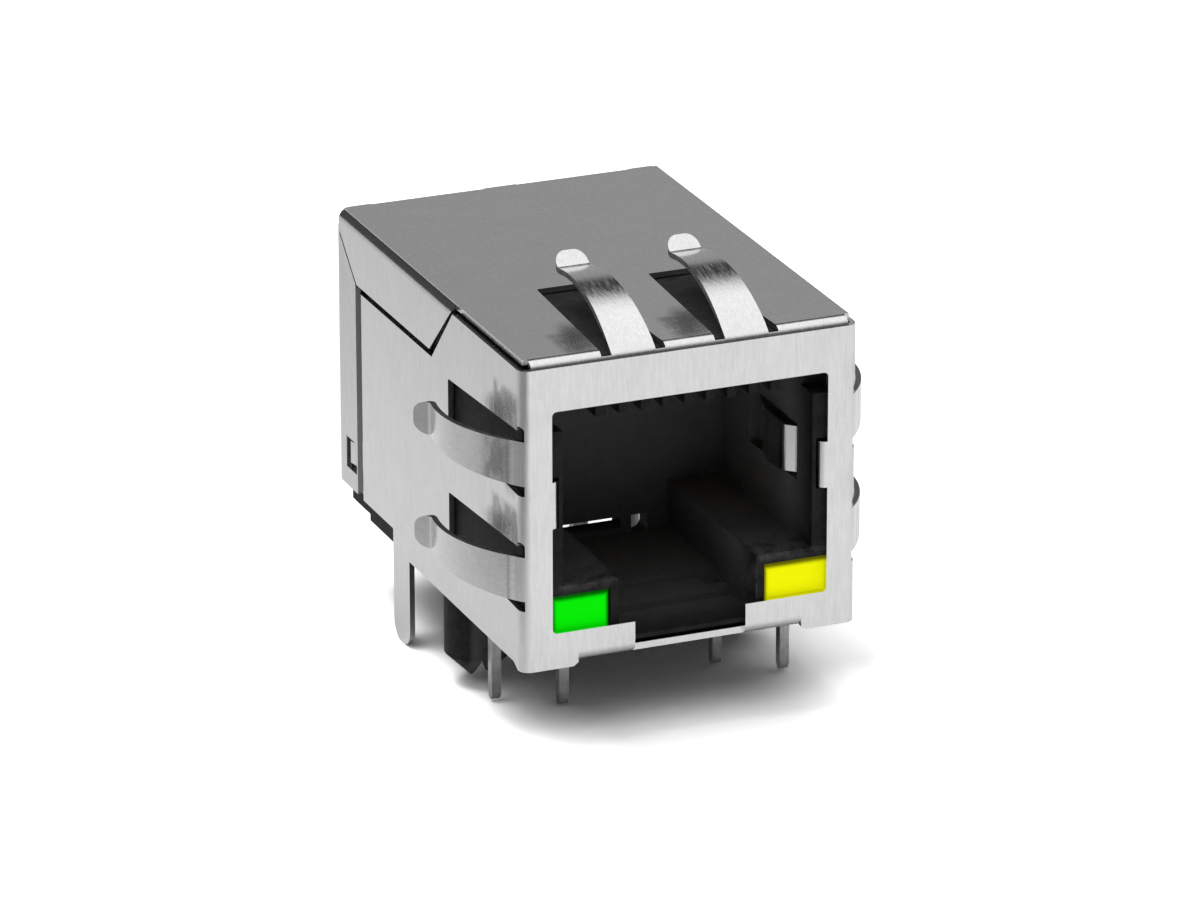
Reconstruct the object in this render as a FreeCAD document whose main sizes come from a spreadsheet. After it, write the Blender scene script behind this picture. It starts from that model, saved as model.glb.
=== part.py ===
"""Shielded board jack for an eight-contact modular plug, latch side down, with two signal lamps.

A folded tin-plated sheet wraps a moulded housing. The housing holds the plug cavity, the latch
channel, two lamp pockets and two locating posts. A carrier pushed in from behind brings eight
spring contacts over the cavity and eight pins down to the board, with the isolating parts between.

Millimetres. X to the right seen from the front, Y from the front face to the back, Z up from the
board. The origin is on the board's surface, midway between the two locating posts.
"""
import FreeCAD, Part
import math
import os

import Sketcher

os.makedirs("parts", exist_ok=True)
doc = FreeCAD.newDocument("board_jack")
sheet = doc.addObject("Spreadsheet::Sheet", "Sizes")

# The driving sizes: name, value in millimetres or degrees, what it measures
SIZES = [
    # Shield
    ("width", 15.9, "outside of the two side panels"),
    ("height", 14.2, "board to the top panel's upper face"),
    ("depth", 22.6, "front face to back face"),
    ("metal", 0.25, "thickness of the shield's sheet"),
    ("bend", 0.5, "outer radius of every main bend"),
    ("face_drop", 0.15, "front face's corners below the board's surface"),
    ("side_lift", 0.1, "side panel's lower edge above the board"),
    ("side_gap", 0.38, "side panel's upper edge below the top"),
    ("corner_inset", 0.27, "top panel's edge inside the side panel's face"),
    ("side_rear_gap", 0.7, "side panel's rear end before the back face"),
    ("mouth_width", 13.0, "opening in the front face"),
    ("mouth_low", 1.5, "opening's lower edge above the board"),
    ("mouth_high", 11.8, "opening's upper edge above the board"),
    ("mouth_round", 0.22, "opening's corner radius"),
    ("notch_width", 5.25, "gap in the lower frame for the plug's latch"),
    ("lip_width", 10.6, "bottom lip folded back under the housing"),
    ("lip_depth", 3.0, "reach of the bottom lip"),
    ("hem_front_high", 8.1, "rear hem's front corner at the top edge, from the front face"),
    ("hem_front_low", 10.85, "rear hem's front corner at its lower edge"),
    ("hem_rear_low", 19.9, "rear hem's rear corner at its lower edge"),
    ("hem_low", 11.25, "rear hem's lower edge above the board"),
    ("seam", 0.16, "gap between neighbouring edges of the folded sheet"),
    ("hem_seam", 0.28, "gap between the hem and the side panel round it"),
    ("wing_length", 2.55, "rear panel's wing along the side"),
    ("wing_low", 1.05, "wing's and rear panel's lower edge above the board"),
    ("lap", 0.03, "gap between the wing and the side panel under it"),
    ("joggle_gap", 0.1, "from the wing's front edge to the side panel's step"),
    ("joggle_run", 0.6, "length of the step that brings the side panel in"),
    ("catch_length", 1.3, "catch window in the wing, along the side"),
    ("catch_height", 1.5, "catch window's height"),
    ("catch_low", 1.95, "catch window's lower edge above the board"),
    ("catch_setback", 1.15, "catch window's rear edge before the back face"),
    ("catch_gap", 0.22, "gap round the bump in the catch window"),
    ("slot_width", 5.6, "each relief slot in the rear top edge"),
    ("slot_pitch", 7.1, "between the middles of the two relief slots"),
    ("leg_rear", 15.6, "shield leg's rear edge from the front face"),
    ("leg_width", 2.0, "shield leg"),
    ("leg_reach", 4.2, "shield leg below the board's surface"),
    ("side_rear_low", 1.0, "side panel's lower edge behind the leg"),
    # Spring fingers on the top and sides
    ("finger_root", 2.05, "finger's width at the front edge"),
    ("finger_tip", 1.5, "finger's width at the tip"),
    ("finger_radius", 7.67, "bow of the finger"),
    ("finger_rise", 40.0, "finger's slope at its root, degrees"),
    ("finger_fall", 12.0, "finger's slope before its tip, degrees"),
    ("finger_flick", 40.0, "slope of the turned-up tip, degrees"),
    ("flick_length", 0.85, "turned-up tip"),
    ("flick_radius", 0.3, "bend of the turned-up tip"),
    ("tip_round", 0.55, "corners of the turned-up tip"),
    ("top_pitch", 5.32, "between the two fingers of the top"),
    ("side_pitch", 5.35, "between the two fingers of a side"),
    ("side_low", 4.2, "lower side finger's middle above the board"),
    ("window_root", 3.0, "finger window's width at the front edge"),
    ("window_rear", 2.15, "finger window's width at its rear edge"),
    ("window_length", 8.6, "finger window, from the front face"),
    ("relief_radius", 0.2, "round relief where a window meets the bend"),
    # Grounding springs inside the mouth
    ("spring_low", 6.4, "grounding spring's lower edge above the board"),
    ("spring_height", 2.15, "grounding spring's width"),
    ("spring_root", 6.15, "spring's inner face at the mouth, from the middle"),
    ("spring_bow", 5.4, "spring's inner face where it presses the plug"),
    ("spring_step", 5.5, "spring's inner face behind its steep stretch"),
    ("spring_straight", 2.15, "straight stretch behind the mouth"),
    ("spring_steep", 0.62, "length of the steep stretch"),
    ("spring_peak", 4.1, "where the spring presses, from the front face"),
    ("spring_end", 6.7, "spring's free end from the front face"),
    # Housing
    ("gap", 0.05, "clearance between the shield and the housing"),
    ("corner_round", 0.4, "housing's outer edges, clear of the shield's bends"),
    ("cavity_width", 11.8, "plug cavity"),
    ("cavity_low", 3.55, "plug cavity's floor above the board"),
    ("cavity_high", 11.2, "plug cavity's ceiling above the board"),
    ("cavity_depth", 10.4, "plug cavity's back wall from the front face"),
    ("back_wall", 1.0, "wall behind the plug cavity"),
    ("slit_low", 1.57, "vent slit through that wall, above the board"),
    ("slit_high", 2.1, "upper edge of the slit and of the hole beside it"),
    ("slit_left", 2.1, "slit's left end from the middle"),
    ("slit_right", 1.0, "slit's right end from the middle"),
    ("eye_low", 1.07, "lowest point of the hole beside the slit"),
    ("eye_middle", 1.93, "hole beside the slit, from the middle"),
    ("eye_radius", 0.41, "round end of the hole"),
    ("channel_width", 6.54, "latch channel"),
    ("channel_floor", 0.75, "latch channel's floor above the board"),
    ("step_rise", 0.3, "rise of each step in the latch channel"),
    ("first_step", 2.9, "first step from the front face"),
    ("second_step", 4.8, "second step from the front face"),
    ("bay_width", 8.7, "contact bay above the cavity"),
    ("bay_high", 12.9, "contact bay's ceiling above the board"),
    ("recess_low", 10.75, "recess in the mouth's upper corners, above the board"),
    ("recess_high", 12.1, "upper edge of that recess"),
    ("recess_width", 6.75, "outer edge of that recess from the middle"),
    ("recess_depth", 1.6, "rear of that recess from the front face"),
    ("comb_depth", 1.9, "rear end of the comb's ribs from the front face"),
    ("comb_slot", 0.62, "slot between two ribs of the comb"),
    ("chamber_width", 13.3, "rear chamber for the carrier"),
    ("spring_pocket", 0.5, "clearance round the grounding spring"),
    ("post_setback", 9.3, "locating posts from the front face"),
    ("post_pitch", 12.7, "between the two locating posts"),
    ("post_radius", 1.525, "locating post"),
    ("post_reach", 3.85, "locating post below the board's surface"),
    ("post_slot", 0.8, "slot that splits the post"),
    ("post_slot_height", 1.75, "the slot, up from the post's tip"),
    ("post_chamfer", 1.1, "lead-in at the post's tip"),
    # Signal lamps
    ("lamp_middle", 2.62, "lamp's middle inside the side panel's face"),
    ("lamp_width", 3.3, "lamp"),
    ("lamp_height", 1.87, "lamp"),
    ("lamp_low", 1.2, "lamp's lower face above the board"),
    ("lamp_front", 0.45, "lamp's face behind the front face"),
    ("lamp_length", 3.6, "lamp"),
    ("lamp_play", 0.04, "clearance round the lamp"),
    ("lead_pitch", 2.54, "between a lamp's two leads"),
    ("lead_near", 4.95, "nearer row of leads from the front face"),
    ("lead_far", 6.67, "farther row of leads from the front face"),
    ("lead_reach", 4.05, "leads below the board's surface"),
    ("wire", 0.5, "side of the square pins"),
    ("lead_wire", 0.45, "side of the square lamp leads"),
    ("wire_play", 0.06, "clearance round a lead or pin"),
    # Contacts
    ("contact_pitch", 1.02, "between neighbouring contacts"),
    ("contact_width", 0.45, "contact strip"),
    ("contact_metal", 0.25, "contact strip's thickness"),
    ("contact_run", 12.3, "contact's upper run above the board"),
    ("contact_front", 1.5, "contact's front bend from the front face"),
    ("contact_turn", 11.62, "where the front bend turns into the arm"),
    ("contact_end", 1.4, "contact's free end before the cavity's back wall"),
    ("contact_end_height", 8.95, "contact's free end above the board"),
    ("contact_round", 0.35, "bends of the contact"),
    ("tail_near", 1.9, "nearer row of contact tails behind the carrier's front"),
    ("tail_far", 3.0, "farther row of contact tails"),
    # Carrier, inner board and isolating parts
    ("fit", 0.06, "clearance between the carrier and the housing"),
    ("base_low", 0.3, "carrier's underside above the board"),
    ("base_height", 2.2, "carrier's base"),
    ("base_slope", 3.54, "run of the rise of the carrier's underside towards the front"),
    ("base_nose", 0.4, "carrier's base at its front edge"),
    ("cheek", 0.8, "carrier's side walls"),
    ("tongue_height", 0.6, "carrier's tongue under the contacts"),
    ("tongue_front", 2.2, "tongue's nose from the front face"),
    ("board_low", 10.1, "inner board's lower face above the outer board"),
    ("board_metal", 0.8, "inner board's thickness"),
    ("board_front", 1.2, "inner board's front edge behind the carrier's front"),
    ("pin_pitch", 1.27, "between neighbouring signal pins across the jack"),
    ("pin_shift", 0.39, "middle of the pin rows to the right of the jack's middle"),
    ("pin_near", 4.3, "nearer row of signal pins behind the carrier's front"),
    ("pin_far", 6.84, "farther row of signal pins"),
    ("pin_reach", 3.2, "signal pins below the board's surface"),
    ("ring_radius", 1.33, "ferrite ring, outside"),
    ("ring_hole", 0.6, "ferrite ring, inside"),
    ("ring_thickness", 1.9, "transformer's ferrite ring"),
    ("choke_thickness", 1.4, "choke's ferrite ring"),
    ("ring_pitch", 2.8, "between neighbouring rings"),
    ("ring_front", 1.35, "front row of rings behind the carrier's front"),
    ("ring_rear", 0.12, "rear row of rings behind the farther pins"),
]


class Size:
    """A length that knows its value and the sheet expression that gives it."""

    def __init__(self, text, value):
        self.text = text
        self.value = value

    def __add__(self, other):
        return joined(self, "+", other)

    def __radd__(self, other):
        return joined(other, "+", self)

    def __sub__(self, other):
        return joined(self, "-", other)

    def __rsub__(self, other):
        return joined(other, "-", self)

    def __mul__(self, other):
        return joined(self, "*", other)

    def __rmul__(self, other):
        return joined(other, "*", self)

    def __truediv__(self, other):
        return joined(self, "/", other)

    def __neg__(self):
        return joined(0, "-", self)


def as_size(number):
    """Turns a plain number into a Size."""
    return number if isinstance(number, Size) else Size(repr(number), number)


def joined(left, sign, right):
    """The sum, difference, product or quotient of two lengths."""
    a, b = as_size(left), as_size(right)
    results = {"+": a.value + b.value, "-": a.value - b.value, "*": a.value * b.value}
    value = a.value / b.value if sign == "/" else results[sign]
    return Size(f"({a.text} {sign} {b.text})", value)


def trig(name, angle):
    """Sine, cosine or tangent of an angle in degrees."""
    angle = as_size(angle)
    value = getattr(math, name)(math.radians(angle.value))
    return Size(f"{name}({angle.text} * 1 deg)", value)


class Sizes:
    """Every driving size by its name."""


s = Sizes()
for row, (alias, number, note) in enumerate(SIZES, 1):
    sheet.set(f"A{row}", alias)
    sheet.set(f"B{row}", str(number))
    sheet.set(f"C{row}", note)
    sheet.setAlias(f"B{row}", alias)
    setattr(s, alias, Size(f"Sizes.{alias}", number))
doc.recompute()


# Helpers that bind every size to the sheet

def bind(thing, prop, length):
    """Binds one property to the sheet."""
    length = as_size(length)
    thing.setExpression(prop, length.text)


PLANES = {
    "XY": FreeCAD.Rotation(),
    "XZ": FreeCAD.Rotation(FreeCAD.Vector(1, 0, 0), 90),
    "YZ": FreeCAD.Rotation(FreeCAD.Vector(1, 1, 1), 120),
}
# Which way each plane's sketch faces along the axis that it is named without
FACING = {"XY": 1, "XZ": -1, "YZ": 1}
ALONG = {"XY": "z", "XZ": "y", "YZ": "x"}


def draw(sketch, corners, closed=True):
    """Draws straight runs through corners (u, v) or (u, v, radius) and holds each by the sheet.

    A corner with a radius keeps its sharp point as a construction point, on both of its runs.
    """
    count = len(corners)
    points = [FreeCAD.Vector(as_size(c[0]).value, as_size(c[1]).value, 0) for c in corners]
    radii = [as_size(c[2]) if len(c) > 2 else None for c in corners]
    before, after = [], []
    for i, corner in enumerate(points):
        if radii[i] is None:
            before.append(corner)
            after.append(corner)
            continue
        back = (points[i - 1] - corner).normalize()
        ahead = (points[(i + 1) % count] - corner).normalize()
        half = back.getAngle(ahead) / 2
        reach = radii[i].value / math.tan(half)
        before.append(corner + back * reach)
        after.append(corner + ahead * reach)
    runs = []
    for i in range(count if closed else count - 1):
        line = Part.LineSegment(after[i], before[(i + 1) % count])
        runs.append(sketch.addGeometry(line, False))

    def held(kind, geometry, end, length):
        length = as_size(length)
        index = sketch.addConstraint(Sketcher.Constraint(kind, -1, 1, geometry, end, length.value))
        sketch.setExpression(f"Constraints[{index}]", length.text)

    for i, corner in enumerate(corners):
        run_out = runs[i] if i < len(runs) else None
        run_in = runs[i - 1] if closed or i > 0 else None
        if radii[i] is None:
            geometry, end = (run_out, 1) if run_out is not None else (run_in, 2)
            held("DistanceX", geometry, end, corner[0])
            held("DistanceY", geometry, end, corner[1])
            if run_in is not None and run_out is not None:
                sketch.addConstraint(Sketcher.Constraint("Coincident", run_in, 2, run_out, 1))
            continue
        sharp = sketch.addGeometry(Part.Point(points[i]), True)
        held("DistanceX", sharp, 1, corner[0])
        held("DistanceY", sharp, 1, corner[1])
        sketch.addConstraint(Sketcher.Constraint("PointOnObject", sharp, 1, run_in))
        sketch.addConstraint(Sketcher.Constraint("PointOnObject", sharp, 1, run_out))
        inward = ((before[i] - points[i]) + (after[i] - points[i])).normalize()
        reach = (before[i] - points[i]).Length
        middle = points[i] + inward * (math.hypot(reach, radii[i].value) - radii[i].value)
        arc = Part.Arc(before[i], middle, after[i])
        rounded = sketch.addGeometry(arc, False)
        first = sketch.getPoint(rounded, 1)
        start_end = (1, 2) if (first - before[i]).Length < 1e-6 else (2, 1)
        sketch.addConstraint(Sketcher.Constraint("Tangent", run_in, 2, rounded, start_end[0]))
        sketch.addConstraint(Sketcher.Constraint("Tangent", rounded, start_end[1], run_out, 1))
        index = sketch.addConstraint(Sketcher.Constraint("Radius", rounded, radii[i].value))
        sketch.setExpression(f"Constraints[{index}]", radii[i].text)


def outline(name, plane, corners, at=0, closed=True):
    """A sketch of its own, on a plane moved along its axis to the place given."""
    sketch = doc.addObject("Sketcher::SketchObject", name)
    sketch.Placement = FreeCAD.Placement(FreeCAD.Vector(), PLANES[plane])
    bind(sketch, f"Placement.Base.{ALONG[plane]}", at)
    draw(sketch, corners, closed)
    return sketch


def extruded(name, plane, corners, low, high):
    """The outline carried from low to high along the plane's own axis."""
    low, high = as_size(low), as_size(high)
    start = low if FACING[plane] > 0 else high
    solid = doc.addObject("Part::Extrusion", name)
    solid.Base = outline(f"{name}_outline", plane, corners, start)
    solid.DirMode = "Normal"
    solid.Solid = True
    bind(solid, "LengthFwd", high - low)
    return solid


def ribbon(name, plane, corners, thickness, low, high):
    """A bent strip: one face follows the open path, the other lies a sheet's thickness off it."""
    low, high = as_size(low), as_size(high)
    start = low if FACING[plane] > 0 else high
    skin = doc.addObject("Part::Offset2D", f"{name}_skin")
    skin.Source = outline(f"{name}_path", plane, corners, start, closed=False)
    skin.Mode = "Skin"
    skin.Join = "Intersection"
    skin.Fill = True
    bind(skin, "Value", thickness)
    solid = doc.addObject("Part::Extrusion", name)
    solid.Base = skin
    solid.DirMode = "Custom"
    solid.Dir = PLANES[plane].multVec(FreeCAD.Vector(0, 0, 1))
    solid.Solid = True
    bind(solid, "LengthFwd", high - low)
    return solid


def block(name, x, y, z):
    """A box from its low and high place along each axis."""
    solid = doc.addObject("Part::Box", name)
    for prop, axis, (low, high) in zip(("Length", "Width", "Height"), "xyz", (x, y, z)):
        bind(solid, prop, as_size(high) - low)
        bind(solid, f"Placement.Base.{axis}", low)
    return solid


def fused(name, shapes):
    """One solid of several that meet."""
    solid = doc.addObject("Part::MultiFuse", name)
    solid.Shapes = shapes
    solid.Refine = True
    return solid


def cut(name, base, tools):
    """A solid less its cutters."""
    solid = doc.addObject("Part::Cut", name)
    solid.Base = base
    solid.Tool = tools[0] if len(tools) == 1 else fused(f"{name}_cutters", tools)
    solid.Refine = True
    return solid


def body_sketch(body, name, plane, loops, at):
    """A sketch of closed loops on one of the body's own origin planes, moved along its normal."""
    origin_plane = next(f for f in body.Origin.OriginFeatures if f.Role == f"{plane}_Plane")
    sketch = body.newObject("Sketcher::SketchObject", name)
    sketch.AttachmentSupport = [(origin_plane, "")]
    sketch.MapMode = "FlatFace"
    bind(sketch, "AttachmentOffset.Base.z", FACING[plane] * as_size(at))
    for corners in loops:
        draw(sketch, corners)
    return sketch


def pad(body, name, plane, loops, low, high):
    """Adds the solid of each loop between two places."""
    start = low if FACING[plane] > 0 else high
    feature = body.newObject("PartDesign::Pad", name)
    feature.Profile = body_sketch(body, f"{name}_sketch", plane, loops, start)
    feature.Refine = False
    bind(feature, "Length", as_size(high) - low)
    return feature


def pocket(body, name, plane, loops, low, high):
    """Takes the solid of each loop away; a pocket cuts against its sketch's normal."""
    start = high if FACING[plane] > 0 else low
    feature = body.newObject("PartDesign::Pocket", name)
    feature.Profile = body_sketch(body, f"{name}_sketch", plane, loops, start)
    feature.Refine = False
    bind(feature, "Length", as_size(high) - low)
    return feature


def rectangle(u_low, u_high, v_low, v_high, radius=None):
    """The four corners of a rectangle, rounded where a radius is given."""
    corners = [(u_low, v_low), (u_high, v_low), (u_high, v_high), (u_low, v_high)]
    return [(u, v, radius) for u, v in corners] if radius is not None else corners


def centred(width, middle=0):
    """The low and high ends of a width about its middle."""
    return middle - as_size(width) / 2, middle + as_size(width) / 2


def sided(side, inner, outer):
    """Two places right of the middle, or their mirror images left of it, low end first."""
    return (as_size(inner), as_size(outer)) if side > 0 else (-as_size(outer), -as_size(inner))


SIDES = (("left", -1), ("right", 1))
finished = {}


def finish(node, thing):
    """Names a finished piece and moves it from the front face's frame to the origin at the posts."""
    thing.Label = node
    finished[node] = thing


# Shield: one folded sheet

def joggle_start():
    """Where the side panels start to step in under the wings."""
    return s.depth - s.wing_length - s.joggle_gap - s.joggle_run


def shield_panels():
    """Front, top and rear panels, the side panels, the rear hem, the wings and the bottom lip."""
    half = s.width / 2
    inner_bend = s.bend - s.metal
    panels = []
    # Front, top and back in one strip, seen from the side
    inside_y, inside_z = s.depth - s.metal, s.height - s.metal
    strip = [
        (0, -s.face_drop),
        (0, s.height, s.bend),
        (s.depth, s.height, s.bend),
        (s.depth, s.wing_low),
        (inside_y, s.wing_low),
        (inside_y, inside_z, inner_bend),
        (s.metal, inside_z, inner_bend),
        (s.metal, -s.face_drop),
    ]
    panels.append(extruded("front_top_back", "YZ", strip, s.bend - half, half - s.bend))
    top_edge = half - s.corner_inset
    panels.append(block("top_panel", (-top_edge, top_edge), (s.bend, s.depth - s.bend), (inside_z, s.height)))
    # The side panels, bent back from the front face, seen from above
    rear = s.depth - s.side_rear_gap
    inside_x = half - s.metal
    step = s.metal + s.lap
    joggle_end = s.depth - s.wing_length - s.joggle_gap
    sides = [
        (step - half, rear),
        (step - half, joggle_end),
        (-half, joggle_start()),
        (-half, 0, s.bend),
        (half, 0, s.bend),
        (half, joggle_start()),
        (half - step, joggle_end),
        (half - step, rear),
        (inside_x - step, rear),
        (inside_x - step, joggle_end),
        (inside_x, joggle_start()),
        (inside_x, s.metal, inner_bend),
        (-inside_x, s.metal, inner_bend),
        (-inside_x, joggle_start()),
        (step - inside_x, joggle_end),
        (step - inside_x, rear),
    ]
    side_panels = extruded("side_panels", "XY", sides, -s.face_drop, s.height - s.side_gap)
    foot = [
        (s.bend, -s.face_drop - 1),
        (s.bend, -s.face_drop),
        (s.bend * 2, s.side_lift),
        (s.depth + 1, s.side_lift),
        (s.depth + 1, -s.face_drop - 1),
    ]
    lifted = extruded("side_foot", "YZ", foot, -half - 1, half + 1)
    above_hem = s.height + 1
    notch = [
        (s.hem_front_high - s.hem_seam, s.height - s.side_gap / 2),
        (s.hem_front_low - s.hem_seam, s.hem_low - s.hem_seam),
        (rear + 1, s.hem_low - s.hem_seam),
        (rear + 1, above_hem),
        (s.hem_front_high - s.hem_seam, above_hem),
    ]
    dovetail = extruded("hem_notch", "YZ", notch, -half - 1, half + 1)
    behind_leg = block(
        "rear_lower_step",
        (-half - 1, half + 1),
        (s.leg_rear, s.depth),
        (s.side_lift - 1, s.side_rear_low),
    )
    panels.append(cut("trimmed_sides", side_panels, [dovetail, behind_leg, lifted]))
    # The hem, bent down from the top panel's side edges, seen from the front
    hem = [
        (-half, s.hem_low),
        (-half, s.height, s.bend),
        (half, s.height, s.bend),
        (half, s.hem_low),
        (inside_x, s.hem_low),
        (inside_x, inside_z, inner_bend),
        (-inside_x, inside_z, inner_bend),
        (-inside_x, s.hem_low),
    ]
    hem_rear = s.depth - s.bend
    hem_blank = extruded("hem_blank", "XZ", hem, s.hem_front_high, hem_rear)
    hem_high = s.height - s.bend / 2
    front_trim = [
        (s.hem_front_high - 1, hem_high),
        (s.hem_front_high, hem_high),
        (s.hem_front_low, s.hem_low),
        (s.hem_front_low, s.hem_low - 1),
        (s.hem_front_high - 1, s.hem_low - 1),
    ]
    rear_rise = hem_rear - s.hem_rear_low
    rear_trim = [
        (s.hem_rear_low, s.hem_low),
        (s.hem_rear_low + rear_rise, s.hem_low + rear_rise * 0.92),
        (hem_rear + 1, s.hem_low + rear_rise * 0.92),
        (hem_rear + 1, s.hem_low - 1),
        (s.hem_rear_low, s.hem_low - 1),
    ]
    trims = [
        extruded("hem_front_trim", "YZ", front_trim, -half - 1, half + 1),
        extruded("hem_rear_trim", "YZ", rear_trim, -half - 1, half + 1),
    ]
    panels.append(cut("hem", hem_blank, trims))
    # The wings, bent forward from the back panel over the stepped ends of the side panels
    outside = half
    wing_front = s.depth - s.wing_length
    inside = outside - s.metal
    wings = [
        (-outside, wing_front),
        (-outside, s.depth, s.bend),
        (outside, s.depth, s.bend),
        (outside, wing_front),
        (inside, wing_front),
        (inside, inside_y, inner_bend),
        (-inside, inside_y, inner_bend),
        (-inside, wing_front),
    ]
    wing_high = s.height - s.bend - s.seam
    wing_blank = extruded("wing_blank", "XY", wings, s.wing_low, wing_high)
    cutters = []
    for side, sign in SIDES:
        slope = [
            (s.hem_rear_low - 1 + s.seam, s.hem_low - 0.92),
            (s.depth + s.seam - 0.3, s.hem_low + (s.depth - 0.3 - s.hem_rear_low) * 0.92),
            (s.depth + s.seam - 0.3, s.height),
            (s.hem_rear_low - 1 + s.seam, s.height),
        ]
        cutters.append(extruded(f"wing_slope_{side}", "YZ", slope, *sided(sign, inside - 0.01, outside + 1)))
        catch_rear = s.depth - s.catch_setback
        cutters.append(block(
            f"catch_window_{side}",
            sided(sign, inside - s.lap / 2, outside + 1),
            (catch_rear - s.catch_length, catch_rear),
            (s.catch_low, s.catch_low + s.catch_height),
        ))
    panels.append(cut("wings", wing_blank, cutters))
    return panels


def shield_lip():
    """The bottom lip: bent back under the housing from the front face's lower edge."""
    lip = [
        (0, s.bend + s.metal),
        (0, 0, s.bend),
        (s.lip_depth, 0),
        (s.lip_depth, s.metal),
        (s.metal, s.metal, s.bend - s.metal),
        (s.metal, s.bend + s.metal),
    ]
    return extruded("bottom_lip", "YZ", lip, *centred(s.lip_width))


def shield_legs():
    """A solder leg with a rounded end on each side panel."""
    legs = []
    for side, sign in SIDES:
        tip_round = s.leg_width * 0.45
        leg = [
            (s.leg_rear - s.leg_width, -s.leg_reach, tip_round),
            (s.leg_rear, -s.leg_reach, tip_round),
            (s.leg_rear, s.side_rear_low + 1),
            (s.leg_rear - s.leg_width, s.side_rear_low + 1),
        ]
        legs.append(extruded(f"leg_{side}", "YZ", leg, *sided(sign, s.width / 2 - s.metal, s.width / 2)))
    return legs


def finger_places():
    """Name, turn about Y and root place of each spring finger."""
    half = s.width / 2
    side_high = s.side_low + s.side_pitch
    return [
        ("top_left", 0, -s.top_pitch / 2, s.height),
        ("top_right", 0, s.top_pitch / 2, s.height),
        ("left_low", -90, -half, s.side_low),
        ("left_high", -90, -half, side_high),
        ("right_low", 90, half, s.side_low),
        ("right_high", 90, half, side_high),
    ]


def placed(thing, turn, x, z):
    """Turns a piece about the Y axis and moves it to its root place."""
    thing.Placement = FreeCAD.Placement(FreeCAD.Vector(), FreeCAD.Rotation(FreeCAD.Vector(0, 1, 0), turn))
    bind(thing, "Placement.Base.x", x)
    bind(thing, "Placement.Base.z", z)
    return thing


def finger(name, turn, x, z):
    """A bowed finger: bent from the front face, one long arc and a turned-up round tip."""
    root_drop = s.bend / 2
    turn_in = (90 - s.finger_rise) / 2
    bow = s.finger_radius * trig("tan", (s.finger_rise + s.finger_fall) / 2)
    rising = bow + s.bend * trig("tan", turn_in) + s.metal / 10
    falling = bow + s.flick_radius * trig("tan", (s.finger_fall + s.finger_flick) / 2) + s.metal / 10
    crest_y = rising * trig("cos", s.finger_rise)
    crest_z = rising * trig("sin", s.finger_rise) - root_drop
    turn_y = crest_y + falling * trig("cos", s.finger_fall)
    turn_z = crest_z - falling * trig("sin", s.finger_fall)
    tip_y = turn_y + s.flick_length * trig("cos", s.finger_flick)
    tip_z = turn_z + s.flick_length * trig("sin", s.finger_flick)
    path = [
        (0, -s.bend - s.metal * 0.2),
        (0, -root_drop, s.bend),
        (crest_y, crest_z, s.finger_radius),
        (turn_y, turn_z, s.flick_radius),
        (tip_y, tip_z),
    ]
    strip = ribbon(f"{name}_strip", "YZ", path, s.metal, *centred(s.finger_root))
    root, tip = s.finger_root / 2, s.finger_tip / 2
    taper = [
        (-root, -s.metal),
        (root, -s.metal),
        (root, s.bend),
        (tip, turn_y),
        (tip, tip_y, s.tip_round),
        (-tip, tip_y, s.tip_round),
        (-tip, turn_y),
        (-root, s.bend),
    ]
    plan = extruded(f"{name}_taper", "XY", taper, -s.bend * 2, s.finger_radius)
    trimmed = doc.addObject("Part::Common", name)
    trimmed.Base = strip
    trimmed.Tool = plan
    return placed(trimmed, turn, x, z)


def finger_window(name, turn, x, z):
    """The tapered window that a finger is cut from, with a round relief at its corner."""
    root, rear = s.window_root / 2, s.window_rear / 2
    window = [
        (-root, s.bend * 0.2),
        (root, s.bend * 0.2),
        (root, s.bend / 2),
        (rear, s.window_length, s.metal / 2),
        (-rear, s.window_length, s.metal / 2),
        (-root, s.bend / 2),
    ]
    return placed(extruded(name, "XY", window, -s.bend, s.bend), turn, x, z)


def grounding_springs():
    """Two springs folded in from the mouth's edges, bowed towards the plug."""
    springs = []
    for side, sign in SIDES:
        path = [
            (sign * (s.mouth_width / 2 + s.metal * 0.4), 0),
            (sign * s.spring_root, 0, s.bend * 0.75),
            (sign * s.spring_root, s.spring_straight, s.bend * 1.2),
            (sign * s.spring_step, s.spring_straight + s.spring_steep, s.bend * 1.2),
            (sign * s.spring_bow, s.spring_peak, s.bend * 3),
            (sign * s.spring_root, s.spring_end),
        ]
        springs.append(ribbon(
            f"grounding_spring_{side}",
            "XY",
            path,
            sign * s.metal,
            s.spring_low,
            s.spring_low + s.spring_height,
        ))
    return springs


def catch_bumps():
    """A half-sheared bump on each side panel, snapped into the wing's catch window."""
    bumps = []
    inside = s.catch_gap
    rear = s.depth - s.catch_setback - inside
    for side, sign in SIDES:
        x_face = sign * (s.width / 2 - s.metal - s.lap)
        x_proud = x_face + sign * (s.lap + s.metal * 0.55)
        wedge = [
            (x_face - sign * s.metal / 2, rear),
            (x_proud, rear),
            (x_face, rear - s.catch_length + inside * 2),
            (x_face - sign * s.metal / 2, rear - s.catch_length + inside * 2),
        ]
        low, high = s.catch_low + inside, s.catch_low + s.catch_height - inside
        bumps.append(extruded(f"catch_bump_{side}", "XY", wedge, low, high))
    return bumps


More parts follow.
